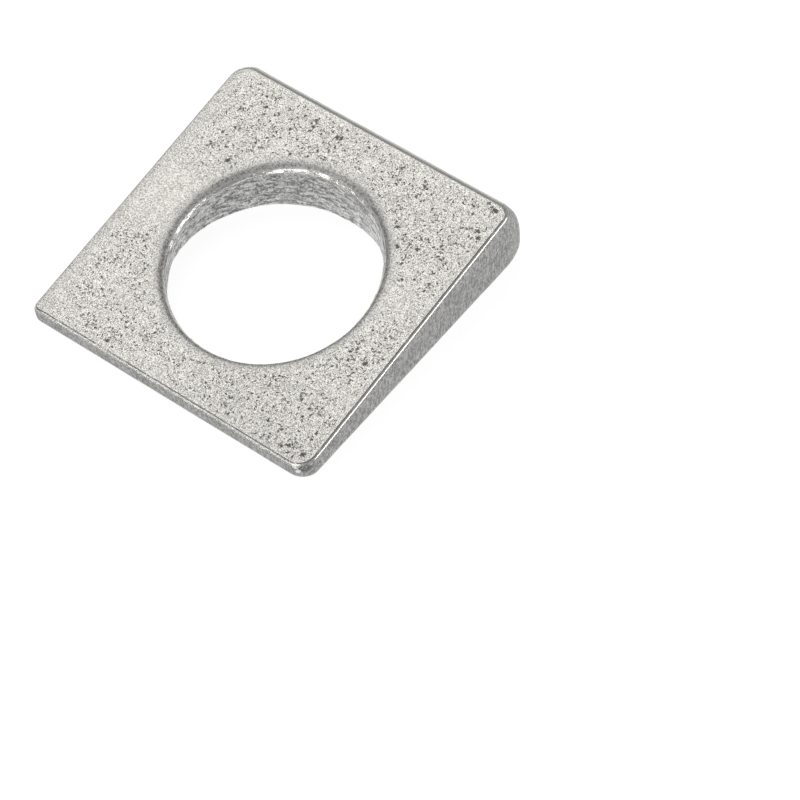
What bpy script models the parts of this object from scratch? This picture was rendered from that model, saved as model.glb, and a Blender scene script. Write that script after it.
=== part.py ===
"""Square beveled washer: a punched wedge of plated steel with one round hole.

Metres, Z up. The flat bearing face lies on z = 0 and the bolt hole runs along Z.
+Y goes from the thin edge to the thick edge, +X along those edges. The sections are
drawn about the middle of the inclined face, then moved so that the footprint is centred.
"""
import math

import bmesh
import bpy

# Wedge: a length cut from a tapered bar
BAR_WIDTH = 0.0396          # Y, thin edge to thick edge of the inclined face
CUT_LENGTH = 0.0404         # X, between the two sheared ends
THIN_EDGE = 0.0030          # height of the sharp wedge at the thin edge
TAPER = 1.0 / 6.0           # rise of the top face along +Y

# Upright corners, seen from above; the shear leaves each one different
CORNER_RADII = (0.0018, 0.0023, 0.0011, 0.0024)     # from +X +Y, anticlockwise

# Rolled sides of the bar
THICK_LEAN = 0.27           # how far the thick side's foot goes out, per height
THICK_BULGE = 0.0011
THIN_LEAN = 0.08            # how far the thin side's foot goes in, per height

# Outer edges, tumbled round
BOTTOM_ROUND = 0.0010       # edges of the bearing face
TOP_ROUND = 0.0005          # thin and +X edges of the inclined face
THICK_ROUND = 0.0007        # thick edge of the inclined face
SHEAR_ROUND = 0.0004        # -X edge, below its roll
TURN_START = 0.35           # an edge starts to change at this share of its normal

# Top edge of the -X end, drawn down softly by the shear
ROLL_WIDTH = 0.0024
ROLL_FALL = 0.00045

# Punched hole, top to bottom: rolled rim with a tight lip, smooth land, torn cone, rounded exit
HOLE_X = 0.0006             # the punch struck a little off the middle
HOLE_Y = -0.0003
LAND_RADIUS = 0.0126
RIM_WIDTH = 0.0011
RIM_FALL = 0.00075
LIP_RADIUS = 0.0002
TEAR_SPREAD = 0.0006        # how much wider the torn cone ends
TEAR_SHARE = 0.42           # part of the local thickness below the land
EXIT_ROUND = 0.0010

# Mesh steps
CORNER_STEPS = 9
SIDE_STEPS = 28
ROUND_STEPS = 5
WALL_STEPS = 4
FACE_STEPS = 4
FACE_SHARE = 0.4            # part of the way to the rim that these steps cover
RIM_STEPS = 6
LIP_STEPS = 3
SMOOTH_BELOW = math.radians(35.0)

NODE = "square_beveled_washer"


def clear_scene():
    for item in list(bpy.data.objects):
        bpy.data.objects.remove(item, do_unlink=True)


def top_height(x, y):
    """Height of the inclined face above the bearing face, rolled down at the -X end."""
    inland = (x + CUT_LENGTH / 2.0) / ROLL_WIDTH
    roll = ROLL_FALL * max(1.0 - inland, 0.0) ** 2
    return THIN_EDGE + TAPER * (y + BAR_WIDTH / 2.0) - roll


def blend(low, high, share):
    return low + (high - low) * share


def steps(first, last, count):
    return [blend(first, last, k / count) for k in range(count + 1)]


def facing(part):
    """How fully a wall faces one way, faded in softly round the corner."""
    share = min(max((part - TURN_START) / (1.0 - TURN_START), 0.0), 1.0)
    return share * share * (3.0 - 2.0 * share)


def plan_corner(turn, radius):
    """One rounded upright corner as points with outward normals."""
    first = turn * math.pi / 2.0
    middle = first + math.pi / 4.0
    cx = math.copysign(CUT_LENGTH / 2.0 - radius, math.cos(middle))
    cy = math.copysign(BAR_WIDTH / 2.0 - radius, math.sin(middle))
    points = []
    for angle in steps(first, first + math.pi / 2.0, CORNER_STEPS):
        nx, ny = math.cos(angle), math.sin(angle)
        points.append((cx + radius * nx, cy + radius * ny, nx, ny))
    return points


def plan_side(start, end):
    """Points between two corners, spaced evenly as seen from the hole."""
    x0, y0, nx, ny = start
    first = math.atan2(y0 - HOLE_Y, x0 - HOLE_X)
    last = math.atan2(end[1] - HOLE_Y, end[0] - HOLE_X)
    if last < first:
        last += 2.0 * math.pi
    reach = (x0 - HOLE_X) * nx + (y0 - HOLE_Y) * ny
    points = []
    for angle in steps(first, last, SIDE_STEPS)[1:-1]:
        dx, dy = math.cos(angle), math.sin(angle)
        length = reach / (dx * nx + dy * ny)
        points.append((HOLE_X + length * dx, HOLE_Y + length * dy, nx, ny))
    return points


def plan_outline():
    """The outline of the inclined face seen from above, anticlockwise."""
    corners = [plan_corner(turn, radius) for turn, radius in enumerate(CORNER_RADII)]
    outline = []
    for corner, following in zip(corners, corners[1:] + corners[:1]):
        outline += corner
        outline += plan_side(corner[-1], following[0])
    return outline


def side_shift(height, ny, z):
    """Sideways place of a rolled side, which leans and bulges, at one height."""
    drop = min(max(height - z, 0.0), height)
    thick = THICK_LEAN * drop + THICK_BULGE * math.sin(math.pi * drop / height)
    return max(ny, 0.0) * thick + max(-ny, 0.0) * THIN_LEAN * drop


def outer_rows(x, y, nx, ny):
    """Section of the outside: up the bottom round, the wall and the top round."""
    height = top_height(x, y)
    lip = TOP_ROUND + (SHEAR_ROUND - TOP_ROUND) * facing(-nx)
    lip += (THICK_ROUND - TOP_ROUND) * facing(ny)
    rows = []
    for angle in steps(-math.pi / 2.0, 0.0, ROUND_STEPS):
        inset = BOTTOM_ROUND * (1.0 - math.cos(angle))
        z = BOTTOM_ROUND * (1.0 + math.sin(angle))
        rows.append((x - nx * inset, y - ny * inset + side_shift(height, ny, z), z))
    for z in steps(BOTTOM_ROUND, height - lip, WALL_STEPS)[1:-1]:
        rows.append((x, y + side_shift(height, ny, z), z))
    for angle in steps(0.0, math.pi / 2.0, ROUND_STEPS):
        inset = lip * (1.0 - math.cos(angle))
        drop = lip * (1.0 - math.sin(angle))
        px, py = x - nx * inset, y - ny * inset
        py += side_shift(height, ny, top_height(px, py) - drop)
        rows.append((px, py, top_height(px, py) - drop))
    return rows


def hole_rows(x, y, border):
    """Section from the border of the inclined face inwards and down through the hole."""
    angle = math.atan2(y - HOLE_Y, x - HOLE_X)
    dx, dy = math.cos(angle), math.sin(angle)

    def at(radius):
        return HOLE_X + radius * dx, HOLE_Y + radius * dy

    rows = []
    rx, ry = at(LAND_RADIUS + RIM_WIDTH)
    for share in steps(0.0, FACE_SHARE, FACE_STEPS)[1:]:
        px, py = blend(border[0], rx, share), blend(border[1], ry, share)
        rows.append((px, py, top_height(px, py)))
    tilt = math.atan(RIM_WIDTH / (2.0 * RIM_FALL))
    lip_start = LAND_RADIUS + LIP_RADIUS * (1.0 - math.cos(tilt))
    for share in steps(0.0, 1.0, RIM_STEPS)[:-1]:
        px, py = at(blend(LAND_RADIUS + RIM_WIDTH, lip_start, share))
        rows.append((px, py, top_height(px, py) - RIM_FALL * share ** 2))
    for turn in steps(tilt, 0.0, LIP_STEPS):
        px, py = at(LAND_RADIUS + LIP_RADIUS * (1.0 - math.cos(turn)))
        drop = RIM_FALL + LIP_RADIUS * (math.sin(tilt) - math.sin(turn))
        rows.append((px, py, top_height(px, py) - drop))
    px, py = at(LAND_RADIUS)
    rows.append((px, py, TEAR_SHARE * top_height(px, py)))
    for turn in steps(0.0, -math.pi / 2.0, ROUND_STEPS):
        px, py = at(LAND_RADIUS + TEAR_SPREAD + EXIT_ROUND * (1.0 - math.cos(turn)))
        rows.append((px, py, EXIT_ROUND * (1.0 + math.sin(turn))))
    return rows


def centred(sections):
    """Move the sections along Y until the footprint is centred on the origin."""
    across = [point[1] for rows in sections for point in rows]
    middle = (min(across) + max(across)) / 2.0
    return [[(x, y - middle, z) for x, y, z in rows] for rows in sections]


def washer_mesh():
    """Sweep the section once round the hole and close it on itself."""
    sections = []
    for x, y, nx, ny in plan_outline():
        outer = outer_rows(x, y, nx, ny)
        sections.append(outer + hole_rows(x, y, outer[-1]))
    shape = bmesh.new()
    rings = [[shape.verts.new(point) for point in rows] for rows in centred(sections)]
    for here, there in zip(rings, rings[1:] + rings[:1]):
        for k in range(len(here)):
            n = (k + 1) % len(here)
            shape.faces.new((here[k], there[k], there[n], here[n]))
    bmesh.ops.recalc_face_normals(shape, faces=shape.faces)
    mesh = bpy.data.meshes.new(NODE)
    shape.to_mesh(mesh)
    shape.free()
    mesh.shade_smooth()
    mesh.set_sharp_from_angle(angle=SMOOTH_BELOW)
    return mesh


def plated_steel():
    """Dull pale plating over steel."""
    material = bpy.data.materials.new("plated_steel")
    material.use_nodes = True
    shader = material.node_tree.nodes["Principled BSDF"]
    shader.inputs["Base Color"].default_value = (0.60, 0.59, 0.56, 1.0)
    shader.inputs["Metallic"].default_value = 0.85
    shader.inputs["Roughness"].default_value = 0.5
    return material


def build():
    clear_scene()
    washer = bpy.data.objects.new(NODE, washer_mesh())
    washer.data.materials.append(plated_steel())
    bpy.context.scene.collection.objects.link(washer)


build()
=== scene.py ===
"""Looks of the square beveled washer: its worn edges, its gritty plating and its studio."""
import math

import bpy
import numpy as np
from mathutils import Matrix, Vector


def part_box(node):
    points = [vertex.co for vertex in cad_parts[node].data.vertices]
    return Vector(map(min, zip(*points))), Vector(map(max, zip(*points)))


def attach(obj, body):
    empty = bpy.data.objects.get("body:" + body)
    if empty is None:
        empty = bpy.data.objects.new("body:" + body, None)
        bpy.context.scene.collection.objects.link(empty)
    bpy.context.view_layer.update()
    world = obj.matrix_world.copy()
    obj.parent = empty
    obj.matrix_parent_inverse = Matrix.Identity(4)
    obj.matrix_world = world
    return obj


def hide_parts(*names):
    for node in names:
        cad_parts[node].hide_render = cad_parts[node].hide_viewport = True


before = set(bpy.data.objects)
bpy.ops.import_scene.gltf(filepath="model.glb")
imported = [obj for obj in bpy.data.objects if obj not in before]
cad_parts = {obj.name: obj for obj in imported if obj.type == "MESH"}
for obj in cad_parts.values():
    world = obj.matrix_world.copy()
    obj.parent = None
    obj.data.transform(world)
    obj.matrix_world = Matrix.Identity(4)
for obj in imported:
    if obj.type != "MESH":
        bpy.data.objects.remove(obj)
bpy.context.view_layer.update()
MM = 0.001

# Washer blank
# A length of hot-rolled taper bar, its faces 1 in 6 out of parallel. The thick rolled side leans
# out at its foot and bulges. The ends are sheared, and the stroke draws the top edge of the -X end
# down softly. Sizes are in millimetres; the brow, a painted shade band on each top round, is in
# radians.
WIDTH = 39.6
LENGTH = 40.4
THIN_EDGE = 3.0
TAPER = 1 / 6
CORNERS = (1.8, 2.3, 1.1, 2.4)
THICK_LEAN = 0.27
THICK_BULGE = 1.1
THIN_LEAN = 0.08
BOTTOM_ROUND = 1.0
TOP_ROUND = 0.5
THICK_ROUND = 0.7
SHEAR_ROUND = 0.4
ROLL_WIDTH = 2.4
ROLL_FALL = 0.45
TURN_START = 0.35
BROW_START, BROW_END = 1.1, 1.35
SIDE_POINTS = 168
CORNER_POINTS = 16


def top_height(x, y):
    """Height of the inclined face above the bearing face, rolled down at the -X end."""
    roll = ROLL_FALL * np.clip(1 - (x + LENGTH / 2) / ROLL_WIDTH, 0, None) ** 2
    return THIN_EDGE + TAPER * (y + WIDTH / 2) - roll


def soften(share):
    share = np.clip(share, 0, 1)
    return share * share * (3 - 2 * share)


def plan_outline():
    """Outline of the inclined face seen from above, anticlockwise: x, y and the outward normal."""
    rows = []
    quarter = math.pi / 2
    for turn, radius in enumerate(CORNERS):
        middle = (turn + 0.5) * quarter
        cx = math.copysign(LENGTH / 2 - radius, math.cos(middle))
        cy = math.copysign(WIDTH / 2 - radius, math.sin(middle))
        for angle in np.linspace(turn * quarter, (turn + 1) * quarter, CORNER_POINTS):
            nx, ny = math.cos(angle), math.sin(angle)
            rows.append((cx + radius * nx, cy + radius * ny, nx, ny))
        whole = LENGTH if turn % 2 == 0 else WIDTH
        run = whole - radius - CORNERS[(turn + 1) % 4]
        for step in np.linspace(0, run, SIDE_POINTS + 2)[1:-1]:
            rows.append((cx + radius * nx - ny * step, cy + radius * ny + nx * step, nx, ny))
    return np.array(rows).T


x, y, nx, ny = plan_outline()
height = top_height(x, y)


def side_shift(z):
    """How far a rolled side stands off the outline at a height: it leans and bulges."""
    drop = np.clip(height - z, 0, height)
    thick = THICK_LEAN * drop + THICK_BULGE * np.sin(math.pi * drop / height)
    return np.clip(ny, 0, 1) * thick + np.clip(-ny, 0, 1) * THIN_LEAN * drop


# Punched hole
# A round punch goes in from the inclined face. It drags its rim down into a soft roll with a tight
# lip, shears a smooth land, then tears the last part of the steel away in a wider, ragged cone.
# Painted shade darkens the coat from the lip outwards, as far as the reach set below. Angles round
# the hole are in degrees from +X.
HOLE = (0.6, -0.3)
LAND_RADIUS = 12.6
RIM_WIDTH = 1.1
RIM_FALL = 0.75
LIP_RADIUS = 0.2
TEAR_SPREAD = 0.6
TEAR_SHARE = 0.42
TEAR_UNEVEN = 0.16
EXIT_ROUND = 1.0
SHADE_REACH = 2.0
# The lip is rubbed smooth and carries a painted sheen, furthest out round this angle and spread
RUBBED_SHEEN_AT, RUBBED_SHEEN_SPREAD = 105, 20
turn = np.arctan2(y - HOLE[1], x - HOLE[0])


def lumps(points, size, seed):
    """A smooth random field in space, 0 to 1, whose lumps are about one size across."""
    values = np.random.default_rng(seed).uniform(0, 1, (64, 64, 64))
    place = points / size
    cell = np.floor(place).astype(int)
    part = soften(place - cell)
    total = 0
    for corner in np.ndindex(2, 2, 2):
        weight = np.prod(np.where(corner, part, 1 - part), axis=-1)
        i, j, k = np.moveaxis((cell + corner) % 64, -1, 0)
        total = total + weight * values[i, j, k]
    return total


class Section:
    """The section of the washer, one row of points after the other, each with its marks."""

    def __init__(self):
        self.points = []
        self.marks = []

    def add(self, px, py, pz, **marks):
        self.points.append(np.stack(np.broadcast_arrays(px, py, pz), axis=-1))
        self.marks.append(marks)

    def grid(self):
        return np.stack(self.points, axis=1)

    def mark(self, name):
        around = len(self.points[0])
        column = [np.broadcast_to(marks.get(name, 0.0), around) for marks in self.marks]
        return np.stack(column, axis=1).astype(float)


def outside(inset):
    return x - nx * inset, y - ny * inset


def inside(radius):
    return HOLE[0] + radius * np.cos(turn), HOLE[1] + radius * np.sin(turn)


section = Section()
for angle in np.radians(np.linspace(-90, 0, 9)):
    px, py = outside(BOTTOM_ROUND * (1 - math.cos(angle)))
    pz = BOTTOM_ROUND * (1 + math.sin(angle))
    section.add(px, py + side_shift(pz), pz, wall=1, foot=math.cos(angle + math.pi / 4) ** 2)
sheared = soften((-nx - TURN_START) / (1 - TURN_START))
thick = soften((ny - TURN_START) / (1 - TURN_START))
edge_round = TOP_ROUND + (SHEAR_ROUND - TOP_ROUND) * sheared
edge_round = edge_round + (THICK_ROUND - TOP_ROUND) * thick
for share in np.linspace(0, 1, 15)[1:-1]:
    pz = BOTTOM_ROUND + (height - edge_round - BOTTOM_ROUND) * share
    section.add(x, y + side_shift(pz), pz, wall=1)
for angle in np.radians(np.linspace(0, 90, 13)):
    px, py = outside(edge_round * (1 - math.cos(angle)))
    drop = edge_round * (1 - math.sin(angle))
    py = py + side_shift(top_height(px, py) - drop)
    shine = math.sin(2 * angle) * (1 - 0.5 * np.clip(-ny, 0, 1))
    # A band of painted shade along the brow, weaker on the thick side
    brow_shading = (BROW_START < angle < BROW_END) * (1 - 0.6 * thick)
    section.add(px, py, top_height(px, py) - drop, wall=math.cos(angle) ** 2, edge=shine, brow=brow_shading)
border = np.stack((px, py), axis=-1)
rim_line = np.stack(inside(LAND_RADIUS + RIM_WIDTH), axis=-1)
reach = np.linalg.norm(border - rim_line, axis=1)
for share in np.linspace(0, 1, 43)[1:-1]:
    px, py = (border + (rim_line - border) * share).T
    outwards = reach * (1 - share)
    shade = soften(1 - (RIM_WIDTH + outwards) / SHADE_REACH)
    section.add(px, py, top_height(px, py), inland=reach * share, from_rim=outwards, shade=shade)
tilt = math.atan(RIM_WIDTH / (2 * RIM_FALL))
lip_start = LAND_RADIUS + LIP_RADIUS * (1 - math.cos(tilt))
further_out = 0.45 * np.exp(-(((np.degrees(turn) - RUBBED_SHEEN_AT) / RUBBED_SHEEN_SPREAD) ** 2))
for share in np.linspace(0, 1, 11)[:-1]:
    px, py = inside(LAND_RADIUS + RIM_WIDTH + (lip_start - LAND_RADIUS - RIM_WIDTH) * share)
    pz = top_height(px, py) - RIM_FALL * share**2
    rubbed_sheen = np.clip(share * 5 - 3.4 + further_out, 0, 1)
    shade = soften(1 - RIM_WIDTH * (1 - share) / SHADE_REACH)
    section.add(px, py, pz, rim=share, lip=rubbed_sheen, shade=shade)
for angle in np.linspace(tilt, 0, 7):
    px, py = inside(LAND_RADIUS + LIP_RADIUS * (1 - math.cos(angle)))
    pz = top_height(px, py) - RIM_FALL - LIP_RADIUS * (math.sin(tilt) - math.sin(angle))
    section.add(px, py, pz, rim=1, lip=1, shade=1, bore=1 - angle / tilt)
px, py = inside(LAND_RADIUS)
ragged = lumps(np.stack((px, py, 0 * px), axis=-1), 2.2, seed=3) - 0.5
tear_top = (TEAR_SHARE + TEAR_UNEVEN * ragged) * top_height(px, py)
for share in np.linspace(0, 1, 9)[1:]:
    section.add(px, py, pz + (tear_top - pz) * share, bore=1)
for share in np.linspace(0, 1, 13)[1:-1]:
    px, py = inside(LAND_RADIUS + TEAR_SPREAD * share)
    section.add(px, py, tear_top + (EXIT_ROUND - tear_top) * share, bore=1, tear=1)
for angle in np.radians(np.linspace(0, -90, 8)):
    px, py = inside(LAND_RADIUS + TEAR_SPREAD + EXIT_ROUND * (1 - math.cos(angle)))
    section.add(px, py, EXIT_ROUND * (1 + math.sin(angle)), bore=1, tear=math.cos(angle))
exit_line = np.stack((px, py), axis=-1)
foot_line = section.points[0][:, :2]
reach = np.linalg.norm(foot_line - exit_line, axis=1)
for share in np.linspace(0, 1, 17)[1:-1]:
    px, py = (exit_line + (foot_line - exit_line) * share).T
    inwards = reach * np.minimum(share, 1 - share)
    section.add(px, py, 0.0, inland=inwards, from_rim=reach * share)
points = section.grid()

# Handling marks
# Rolling, shearing and tumbling leave every wall a little uneven, the thin edge beaded, the foot
# wavy and the torn cone ragged. Each mark has a depth and a width, and all of it is taken off the
# plain form, never added.
off = 0.012 * lumps(points, 2.5, seed=11)
plain_wall = section.mark("wall") * (1 - 0.8 * section.mark("edge"))
off += plain_wall * (0.03 * lumps(points, 3.0, seed=12) + 0.02 * lumps(points, 0.8, seed=13))
off += section.mark("foot") * 0.02 * (lumps(points, 3.5, seed=14) + lumps(points, 1.1, seed=15))
thin_side = np.clip(-ny, 0, 1)[:, None]
beads = lumps(points * (1, 0.3, 0.3), 0.75, seed=16)
off += section.mark("edge") * (0.01 + 0.09 * thin_side) * beads
off += section.mark("rim") * 0.05 * lumps(points, 3.0, seed=17)
off += section.mark("lip") * 0.12 * lumps(points, 0.55, seed=20)
torn = 0.16 * lumps(points, 1.6, seed=18) + 0.12 * lumps(points, 0.6, seed=19)
off += section.mark("tear") * torn
points[..., 1] -= (points[..., 1].min() + points[..., 1].max()) / 2
around = np.roll(points, -1, axis=0) - np.roll(points, 1, axis=0)
along = np.roll(points, -1, axis=1) - np.roll(points, 1, axis=1)
normal = np.cross(around, along)
normal /= np.linalg.norm(normal, axis=-1, keepdims=True)

# Pitting
# The dark specks crowd together along the thick edge and down the +X end, and thin out towards
# the soft roll and the borders. Each crowd has a place, a radius and a weight, below nought where
# the coat is clean.
CROWDS = (
    (-12.0, 13.5, 4.0, 0.7),
    (-4.5, 14.5, 4.0, 0.9),
    (7.5, 13.0, 5.0, 0.8),
    (15.0, 9.0, 5.0, 0.6),
    (17.0, -6.0, 4.0, 0.8),
    (16.0, -18.0, 4.0, 0.8),
    (8.0, -15.0, 5.0, 0.5),
    (-14.0, 7.0, 3.0, 0.5),
    (-15.5, -10.5, 3.0, 0.7),
    (-8.0, -18.5, 4.0, 0.4),
    (-17.5, -1.0, 5.0, -0.6),
    (16.0, 2.0, 2.5, -0.4),
)
crowding = np.full(points.shape[:2], 0.4)
for cx, cy, radius, weight in CROWDS:
    away = np.hypot(points[..., 0] - cx, points[..., 1] - cy) / radius
    crowding += weight * np.exp(-(away**2)) * (points[..., 2] > BOTTOM_ROUND)
crowding *= soften((points[..., 0] + LENGTH / 2 - 0.8) / 2.4)
crowding *= soften((18.2 - points[..., 1]) / 1.6) * soften(section.mark("inland") / 0.8)
crowding *= soften(section.mark("from_rim") / 1.2)

# Finished washer
# One closed piece of plated steel: its section goes once round the hole, meets itself again and
# takes its marks along for the plating. GLINTS are the bright ends of the bore, where glints are
# painted, each with an angle round the hole and a spread.
GLINTS = ((58, 16), (195, 14))
points -= normal * off[..., None]
low, high = (np.array(corner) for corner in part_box("square_beveled_washer"))
points = np.clip(points * MM, low, high)

count, depth = points.shape[:2]
index = np.arange(count * depth).reshape(count, depth)
there = np.roll(index, -1, axis=0)
quads = np.stack((index, there, np.roll(there, -1, axis=1), np.roll(index, -1, axis=1)), axis=-1)
mesh = bpy.data.meshes.new("washer")
mesh.from_pydata(points.reshape(-1, 3).tolist(), [], quads.reshape(-1, 4).tolist())
mesh.shade_smooth()
names = ("wall", "foot", "edge", "brow", "rim", "lip", "shade", "bore", "tear")
marks = {name: section.mark(name) for name in names}
rolled = np.clip(1 - (points[..., 0] + LENGTH / 2) / ROLL_WIDTH, 0, 1) * (1 - section.mark("wall"))
marks["rolled"] = rolled * (points[..., 2] > BOTTOM_ROUND) * (section.mark("bore") == 0)
degrees = np.degrees(turn) % 360
ends = sum(np.exp(-(((degrees - middle) / spread) ** 2)) for middle, spread in GLINTS)
marks["glint"] = marks["bore"] * ends[:, None]
marks["spotted"] = np.clip(crowding, 0, 1.5)
for name, values in marks.items():
    values = np.ascontiguousarray(values.ravel(), dtype=np.float32)
    mesh.attributes.new(name, "FLOAT", "POINT").data.foreach_set("value", values)
washer = bpy.data.objects.new("washer", mesh)
bpy.context.scene.collection.objects.link(washer)
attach(washer, "root")
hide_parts("square_beveled_washer")

# Plating
# A dull zinc coat over shot-blasted steel: pale and matte like packed sand, with dark specks and
# pits where the coat sank or broke. Walls and bore are painted darker, partly as shade, and scored;
# the tumbled edges shine, partly through a painted sheen.
plating = bpy.data.materials.new("gritty_plating")
plating.use_nodes = True
shader = plating.node_tree.nodes["Principled BSDF"]


class Wire:
    """A node's output that Python arithmetic can be done on."""

    tree = None

    def __init__(self, socket):
        self.socket = socket

    @classmethod
    def node(cls, kind, settings=None, values=None, out=0):
        """A new node: its settings first, then its inputs, each a wire or a plain value."""
        node = cls.tree.nodes.new(kind)
        for name, value in (settings or {}).items():
            setattr(node, name, value)
        for name, value in (values or {}).items():
            if isinstance(value, Wire):
                cls.tree.links.new(value.socket, node.inputs[name])
            else:
                node.inputs[name].default_value = value
        return cls(node.outputs[out]) if len(node.outputs) else node

    @classmethod
    def math(cls, operation, *values):
        return cls.node("ShaderNodeMath", {"operation": operation}, dict(enumerate(values)))

    def __add__(self, other):
        return Wire.math("ADD", self, other)

    def __sub__(self, other):
        return Wire.math("SUBTRACT", self, other)

    def __mul__(self, other):
        return Wire.math("MULTIPLY", self, other)

    def __rsub__(self, other):
        return Wire.math("SUBTRACT", other, self)

    __radd__ = __add__
    __rmul__ = __mul__

    def fade(self, start, end):
        """0 before the start, 1 after the end, soft between them."""
        return Wire.node(
            "ShaderNodeMapRange",
            {"interpolation_type": "SMOOTHSTEP"},
            {"Value": self, "From Min": start, "From Max": end},
        )

    def size(self):
        """The plain value of a number, or the length of a vector."""
        if self.socket.type == "VECTOR" or self.socket.type == "RGBA":
            settings = {"operation": "LENGTH"}
            return Wire.node("ShaderNodeVectorMath", settings, {0: self}, out="Value")
        return Wire.math("ABSOLUTE", self)

    def scaled(self, factor):
        """The vector made longer: one number for all three parts, or three numbers."""
        factors = factor if isinstance(factor, tuple) else (factor,) * 3
        return Wire.node("ShaderNodeVectorMath", {"operation": "MULTIPLY"}, {0: self, 1: factors})

    def shifted(self, other):
        return Wire.node("ShaderNodeVectorMath", {"operation": "ADD"}, {0: self, 1: other})

    def away_from(self, point):
        """How far the vector lies from a fixed point."""
        return self.shifted(tuple(-part for part in point)).size()


def mark(name):
    return Wire.node("ShaderNodeAttribute", {"attribute_name": name}, out="Fac")


def noise(place, scale, detail=2.0, out=0):
    values = {"Vector": place, "Scale": scale, "Detail": detail}
    return Wire.node("ShaderNodeTexNoise", None, values, out)


def colour_mix(first, second, share):
    settings = {"data_type": "RGBA"}
    return Wire.node("ShaderNodeMix", settings, {0: share, 6: first, 7: second}, out=2)


def tint(red, green, blue):
    return (red, green, blue, 1.0)


Wire.tree = plating.node_tree
place =Wire.node("ShaderNodeTexCoord", out="Object").scaled(1 / MM)
wall, foot, edge, brow = mark("wall"), mark("foot"), mark("edge"), mark("brow")
rim, lip, bore, tear = mark("rim"), mark("lip"), mark("bore"), mark("tear")
spotted = mark("spotted")
side = Wire.math("MAXIMUM", wall, bore)
wear_and_sheen = Wire.math("MAXIMUM", edge, lip)
sunk = Wire.math("MAXIMUM", side, rim)

# Sand grain, its thin winding gaps and the specks
warp = noise(place, 2.6, 2.0, out="Color").shifted((-0.5, -0.5, -0.5)).scaled(0.8)
warped = place.shifted(warp)
grain = noise(place, 6.4, 1.0)
gaps = 1 - (noise(place, 2.2, 1.0) - 0.5).size().fade(0.0, 0.07)
speck_field = noise(warped, 4.0, 2.0) + noise(place, 0.8, 1.0) * 0.25
specks = speck_field.fade(0.762, 0.782) * spotted.fade(0.0, 0.4)
crowded = (speck_field + spotted * 0.02).fade(0.762, 0.782) * spotted.fade(0.3, 0.9)
specks = Wire.math("MAXIMUM", specks, crowded)


def pits(scale, radius, share, seed):
    """Dark pits: flat cells of a random pattern, some of them with a spot in the middle."""
    settings = {"voronoi_dimensions": "2D", "feature": "F1"}
    values = {"Vector": warped.shifted((seed, seed, 0)), "Scale": scale}
    distance = Wire.node("ShaderNodeTexVoronoi", settings, values, out="Distance")
    lot = Wire.node("ShaderNodeTexVoronoi", settings, values, out="Color")
    lot = Wire.node("ShaderNodeSeparateColor", None, {0: lot}, out=0)
    size = lot.fade(1 - share, 1.0) * (radius * scale)
    return (size - distance).fade(-0.02, 0.08)


small_pits = pits(1.6, 0.14, 0.7, 31.0) * spotted.fade(0.1, 0.6)
large_pits = pits(0.7, 0.20, 0.6, 7.0) * spotted.fade(0.4, 0.8)
pitted = Wire.math("MAXIMUM", small_pits, large_pits)

# The broadest pits of the inclined face: each has a place and a radius
BROAD_PITS = (
    (17.2, 17.5, 0.165),
    (17.8, 17.35, 0.195),
    (18.4, 17.1, 0.3),
    (-9.6, -19.8, 0.255),
    (-3.4, 15.6, 0.247),
    (-6.8, 15.3, 0.21),
    (-8.9, 13.6, 0.203),
    (-13.2, 14.6, 0.21),
    (-12.6, 6.4, 0.21),
    (11.6, 7.5, 0.247),
    (13.8, 8.4, 0.217),
    (14.7, 4.2, 0.188),
    (17.7, -6.6, 0.255),
    (18.9, 13.2, 0.21),
    (1.9, -16.2, 0.188),
    (18.6, -19.4, 0.27),
    (16.6, -19.4, 0.18),
)
above_foot = place.scaled((0, 0, 1)).size().fade(1.5, 2.5)
in_plan = warped.scaled((1, 1, 0))
for px, py, radius in BROAD_PITS:
    broad_pit = (radius - in_plan.away_from((px, py, 0))).fade(-0.10, 0.10) * above_foot
    pitted = Wire.math("MAXIMUM", pitted, broad_pit)
pitted = pitted * (1 - sunk)

# Face: pale grains in grey gaps, a little darker round the +X-Y corner, with painted shade in grey
# on the soft roll
LIGHT, GAP = tint(0.92, 0.895, 0.845), tint(0.42, 0.415, 0.397)
PIT, ROLL_SHADE = tint(0.11, 0.107, 0.10), tint(0.36, 0.362, 0.36)
face = colour_mix(LIGHT, GAP, grain.fade(0.58, 0.34))
face = colour_mix(face, GAP, gaps * noise(place, 0.9, 1.0).fade(0.4, 0.6) * 0.6)
cloud = place.away_from((10.0, -22.0, 0.0)).fade(16.0, 4.0)
face = colour_mix(face, face.scaled(0.93), cloud)
# Painted shade on the soft roll
face = colour_mix(face, ROLL_SHADE, mark("rolled").fade(0.1, 1.0) * 0.8)
face = colour_mix(face, PIT, Wire.math("MAXIMUM", specks * 0.95, pitted * 0.9))

# Walls: mottled steel, scored on the slant, painted darker than the face partly as shade, with grime
# in its hollows and a paler foot that is a painted reflection of the floor
WALL_DARK, WALL_PALE = tint(0.21, 0.21, 0.206), tint(0.51, 0.505, 0.495)
GRIME, FOOT_REFLECTION = tint(0.15, 0.15, 0.145), tint(0.56, 0.555, 0.54)
slanting = {"Vector": place, "Rotation": (0.0, 0.7, 0.5), "Scale": (4.5, 4.5, 1.3)}
scores = noise(Wire.node("ShaderNodeMapping", None, slanting), 0.8, 4.0)
mottle = noise(place, 3.2, 4.0)
grime = (noise(warped, 4.0, 1.0) + noise(place, 0.6, 1.0) * 0.3).fade(0.74, 0.84)
wall_tone = colour_mix(WALL_DARK, WALL_PALE, (mottle * 0.5 + scores * 0.5).fade(0.36, 0.64))
wall_tone = colour_mix(wall_tone, GRIME, grime * 0.5)
# The paler foot is a painted reflection of the floor
wall_tone = colour_mix(wall_tone, FOOT_REFLECTION, foot * 0.5)
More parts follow.
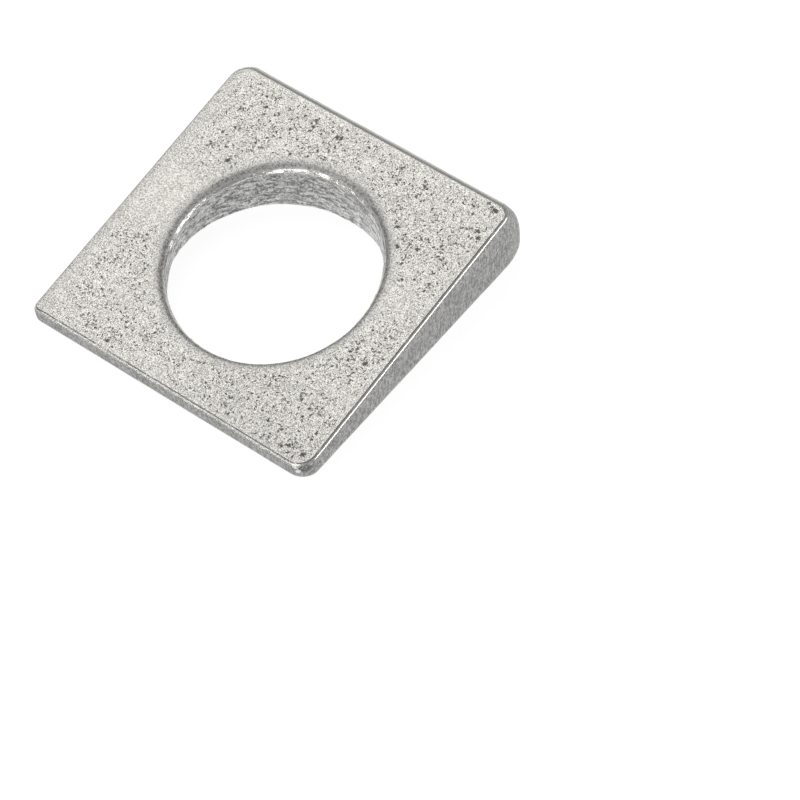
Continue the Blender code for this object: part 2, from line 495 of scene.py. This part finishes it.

# Bore: crumpled steel, streaked round the hole, its pale flecks partly painted reflection, with
# painted shade in the creases and painted glints at the bright ends
BORE_DARK, BORE_PALE = tint(0.35, 0.35, 0.343), tint(1.0, 0.995, 0.98)
BORE_GLINT, CREASE_SHADE = tint(0.97, 0.96, 0.94), tint(0.10, 0.10, 0.097)
streaks = noise(place.scaled((0.9, 0.9, 2.5)), 1.0, 4.0)
crumple = noise(warped, 1.7, 2.0)
# Painted shade in the creases
crease_shade = (streaks - 0.44).size().fade(0.03, 0.0)
crease_shade = Wire.math("MAXIMUM", (crumple - 0.5).size().fade(0.04, 0.0), crease_shade)
glints = (streaks - 0.57).size().fade(0.03, 0.0) * 0.8
glints = Wire.math("MAXIMUM", mark("glint") * streaks.fade(0.47, 0.56), glints)
flecks = (noise(place, 3.4, 3.0) * 0.5 + streaks * 0.5).fade(0.39, 0.58)
bore_tone = colour_mix(BORE_DARK, BORE_PALE, flecks)
bore_tone = colour_mix(bore_tone, BORE_GLINT, glints)
bore_tone = colour_mix(bore_tone, CREASE_SHADE, crease_shade * (0.7 + tear * 0.2))

# The +X-Y corner took the knocks: a gritty nose between three dents with painted highlights
NOSE, NOSE_RADIUS = (19.6, -20.3, 2.6), 1.1
DENT_HIGHLIGHTS = (
    ((18.7, -20.9, 2.85), 0.38),
    ((18.9, -20.8, 1.9), 0.34),
    ((20.0, -19.7, 3.0), 0.22),
)
GRIT, DENT_HIGHLIGHT = tint(0.10, 0.10, 0.097), tint(0.84, 0.83, 0.80)
nose = (NOSE_RADIUS - place.away_from(NOSE)).fade(0.0, 0.5)
gritty = noise(place, 3.0, 2.0).fade(0.38, 0.52)
wall_tone = colour_mix(wall_tone, GRIT, nose * gritty * 0.85)
dent_highlights = 0.0
for highlight_at, radius in DENT_HIGHLIGHTS:
    dent_highlights = Wire.math("MAXIMUM", dent_highlights, (radius - warped.away_from(highlight_at)).fade(-0.12, 0.06))

# All tones together, with painted shade on the rim and the brow, and worn edges brightened by a
# painted sheen
RIM_SHADE_DARK, RIM_SHADE_PALE = tint(0.14, 0.139, 0.135), tint(0.38, 0.377, 0.368)
WORN_SHEEN, BROW_SHADE = tint(0.70, 0.69, 0.66), tint(0.13, 0.128, 0.12)
tone = colour_mix(face, wall_tone, wall)
# The rim's tone is painted shade, darkest at the lip
rim_shade = colour_mix(RIM_SHADE_DARK, RIM_SHADE_PALE, mottle.fade(0.40, 0.54))
tone = colour_mix(tone, rim_shade, mark("shade") * (1 - bore) * 0.9)
tone = colour_mix(tone, bore_tone, bore)
# Worn edges and lip: bared steel, brightened further by a painted sheen
tone = colour_mix(tone, WORN_SHEEN, wear_and_sheen * 0.7)
tone = colour_mix(tone, BROW_SHADE, brow * noise(place, 0.8, 2.0).fade(0.25, 0.5) * 0.85)
# Painted highlights on the dents
tone = colour_mix(tone, DENT_HIGHLIGHT, dent_highlights)
Wire.tree.links.new(tone.socket, shader.inputs["Base Color"])

polish = Wire.math("MAXIMUM", wear_and_sheen, rim * 0.25 * (1 - bore))
roughness = 0.55 - polish * 0.37 - (side * 0.10 + bore * 0.08) * (1 - polish) + pitted * 0.2
Wire.tree.links.new(roughness.socket, shader.inputs["Roughness"])
shader.inputs["Metallic"].default_value = 0.75

smooth = wear_and_sheen.fade(0.1, 0.8) * (1 - lip * mottle.fade(0.44, 0.56) * 0.3)
relief = (grain * 0.5 - gaps * 0.1) * (1 - smooth) - specks * 0.2 - pitted * 0.5
relief = relief * (1 - side * 0.5) + wall * (1 - smooth) * mottle * 2.5
relief = relief + bore * (crumple * 7.0 + mottle * 2.0 + streaks * 12.0)
bump = Wire.node("ShaderNodeBump", None, {"Height": relief, "Strength": 1.0, "Distance": 0.12 * MM})
Wire.tree.links.new(bump.socket, shader.inputs["Normal"])
washer.data.materials.append(plating)

# Floor
# A pale paper sweep that the washer lies on. It shows white to the camera and in reflections, and
# it keeps a soft shadow.
FLOOR_HALF = 3.0
floor_mesh = bpy.data.meshes.new("floor")
signs = ((-1, -1), (1, -1), (1, 1), (-1, 1))
floor_corners = [(FLOOR_HALF * across, FLOOR_HALF * along, 0) for across, along in signs]
floor_mesh.from_pydata(floor_corners, [], [(0, 1, 2, 3)])
floor = bpy.data.objects.new("floor", floor_mesh)
floor.location.z = -0.02 * MM
bpy.context.scene.collection.objects.link(floor)
paper = bpy.data.materials.new("white_paper")
paper.use_nodes = True
Wire.tree = paper.node_tree
Wire.tree.nodes.clear()
seen = Wire.node("ShaderNodeLightPath", out="Is Camera Ray")
for ray in ("Is Glossy Ray", "Is Transmission Ray"):
    seen = Wire.math("MAXIMUM", seen, Wire.node("ShaderNodeLightPath", out=ray))
matte = Wire.node("ShaderNodeBsdfDiffuse", None, {"Color": tint(0.8, 0.8, 0.8)})
faint = Wire.node("ShaderNodeBsdfDiffuse", None, {"Color": tint(0.17, 0.17, 0.17)})
glow = Wire.node("ShaderNodeEmission", None, {"Strength": 0.92})
lit = Wire.node("ShaderNodeAddShader", None, {0: faint, 1: glow})
surface = Wire.node("ShaderNodeMixShader", None, {0: seen, 1: matte, 2: lit})
Wire.node("ShaderNodeOutputMaterial", None, {"Surface": surface})
floor.data.materials.append(paper)

# Light
# An even room, one large soft lamp that the inclined face mirrors, and two low strips that draw
# the bright lines along its edges.
world = bpy.data.worlds.new("studio")
world.use_nodes = True
world.node_tree.nodes["Background"].inputs["Color"].default_value = (1, 1, 1, 1)
world.node_tree.nodes["Background"].inputs["Strength"].default_value = 0.3
bpy.context.scene.world = world


def softbox(name, toward, distance, width, height, power):
    """A rectangular lamp that faces the washer."""
    lamp = bpy.data.lights.new(name, "AREA")
    lamp.shape = "RECTANGLE"
    lamp.size = width
    lamp.size_y = height
    lamp.energy = power
    holder = bpy.data.objects.new(name, lamp)
    direction = Vector(toward).normalized()
    holder.location = direction * distance
    holder.rotation_euler = direction.to_track_quat("Z", "Y").to_euler()
    bpy.context.scene.collection.objects.link(holder)


softbox("overhead", (-0.40, 0.16, 0.90), distance=0.6, width=0.5, height=0.52, power=1.75)
softbox("right_strip", (0.91, 0.37, 0.18), distance=0.5, width=0.34, height=0.07, power=0.62)
softbox("front_strip", (-0.02, -0.95, 0.31), distance=0.5, width=0.76, height=0.075, power=0.95)

# Camera
# A long lens looking down on the inclined face, with the washer left of and above the middle. It
# was fitted to the outline and the hole, in pixels of a square picture.
IMAGE_SIDE = 800
SENSOR_WIDTH = 36.0
FOCAL_PIXELS = 3215.4
AIM_PIXEL = (275.16, 292.07)
AIM = Vector((0, -1.369 * MM, 0))
AZIMUTH, ELEVATION, ROLL = math.radians(40.558), math.radians(53.503), math.radians(-4.073)
DISTANCE = 373.83 * MM
flat = math.cos(ELEVATION)
back = Vector((math.sin(AZIMUTH) * flat, -math.cos(AZIMUTH) * flat, math.sin(ELEVATION)))
level = Vector((math.cos(AZIMUTH), math.sin(AZIMUTH), 0))
upright = back.cross(level)
right = level * math.cos(ROLL) + upright * math.sin(ROLL)
up = upright * math.cos(ROLL) - level * math.sin(ROLL)
aside = (AIM_PIXEL[0] - IMAGE_SIDE / 2) / FOCAL_PIXELS * DISTANCE
above = (IMAGE_SIDE / 2 - AIM_PIXEL[1]) / FOCAL_PIXELS * DISTANCE
lens = bpy.data.cameras.new("camera")
lens.sensor_width = SENSOR_WIDTH
lens.lens = FOCAL_PIXELS / IMAGE_SIDE * SENSOR_WIDTH
lens.clip_start, lens.clip_end = 0.01, 20.0
camera = bpy.data.objects.new("camera", lens)
axes = Matrix((right, up, back)).transposed()
stand = AIM + back * DISTANCE - right * aside - up * above
camera.matrix_world = Matrix.Translation(stand) @ axes.to_4x4()
bpy.context.scene.collection.objects.link(camera)
bpy.context.scene.camera = camera
bpy.context.scene.view_settings.view_transform = "Standard"
